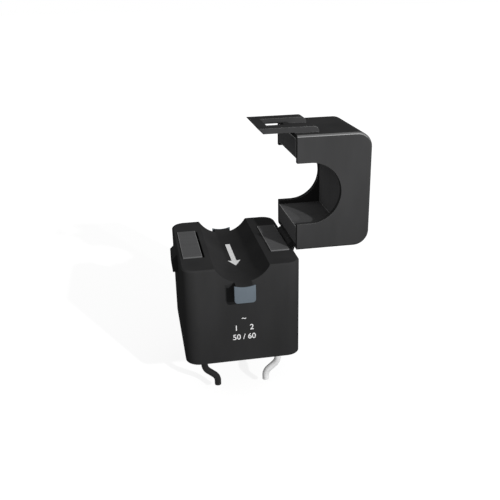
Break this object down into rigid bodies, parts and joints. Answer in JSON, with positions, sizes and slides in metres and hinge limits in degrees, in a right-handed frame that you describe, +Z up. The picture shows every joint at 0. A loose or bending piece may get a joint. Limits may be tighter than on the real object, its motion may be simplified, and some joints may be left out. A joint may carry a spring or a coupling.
{
  "type": "split-core current transformer",
  "caption": "Clamp-on current transformer: moulded base with a half-round conductor trough between bare core poles, and a hinged lid holding the other core half and a latch strap.",
  "frame": {"origin": "on the axis of the conductor window, at mid depth of the base", "axes": "+X to the hinge side, +Y along the conductor towards the back, +Z up from the base towards the closed lid"},
  "size_m": [0.0517, 0.0438, 0.0688],
  "materials": {
    "black_plastic": "fine-textured moulded black plastic",
    "grey_plastic": "smooth blue-grey plastic",
    "core_steel": "ground laminated core steel",
    "bobbin_plastic": "glass-filled moulded plastic",
    "copper": "enamelled copper",
    "tape": "thin polyester tape",
    "board": "green solder mask",
    "resistor_body": "lacquered",
    "diode_body": "moulded epoxy",
    "solder": "bright solder",
    "pad_rubber": "soft rubber",
    "pin_steel": "drawn steel",
    "spring_bronze": "rolled spring bronze",
    "black_pvc": "extruded, slightly shiny",
    "white_pvc": "extruded, slightly shiny"
  },
  "bodies": {
    "base": {"base_housing": "black_plastic", "tie_tab_cap_front": "grey_plastic", "tie_tab_cap_back": "grey_plastic", "bottom_cover": "black_plastic", "base_core": "core_steel", "core_pad_left": "pad_rubber", "core_pad_right": "pad_rubber", "bobbin": "bobbin_plastic", "winding": "copper", "winding_tape": "tape", "circuit_board": "board", "burden_resistor": "resistor_body", "surge_diode": "diode_body", "solder_joint_black": "solder", "solder_joint_white": "solder", "black_lead_insulation": "black_pvc", "black_lead_conductor": "copper", "white_lead_insulation": "white_pvc", "white_lead_conductor": "copper", "hinge_pin": "pin_steel"},
    "lid": {"lid_housing": "black_plastic", "lid_core": "core_steel", "lid_spring": "spring_bronze"}
  },
  "joints": [
    {"name": "lid_hinge", "type": "hinge", "parent": "base", "child": "lid", "pos_m": [0.01535, 0, -0.00385], "axis": [0, -1, 0], "range_deg": [0, 90]}
  ]
}
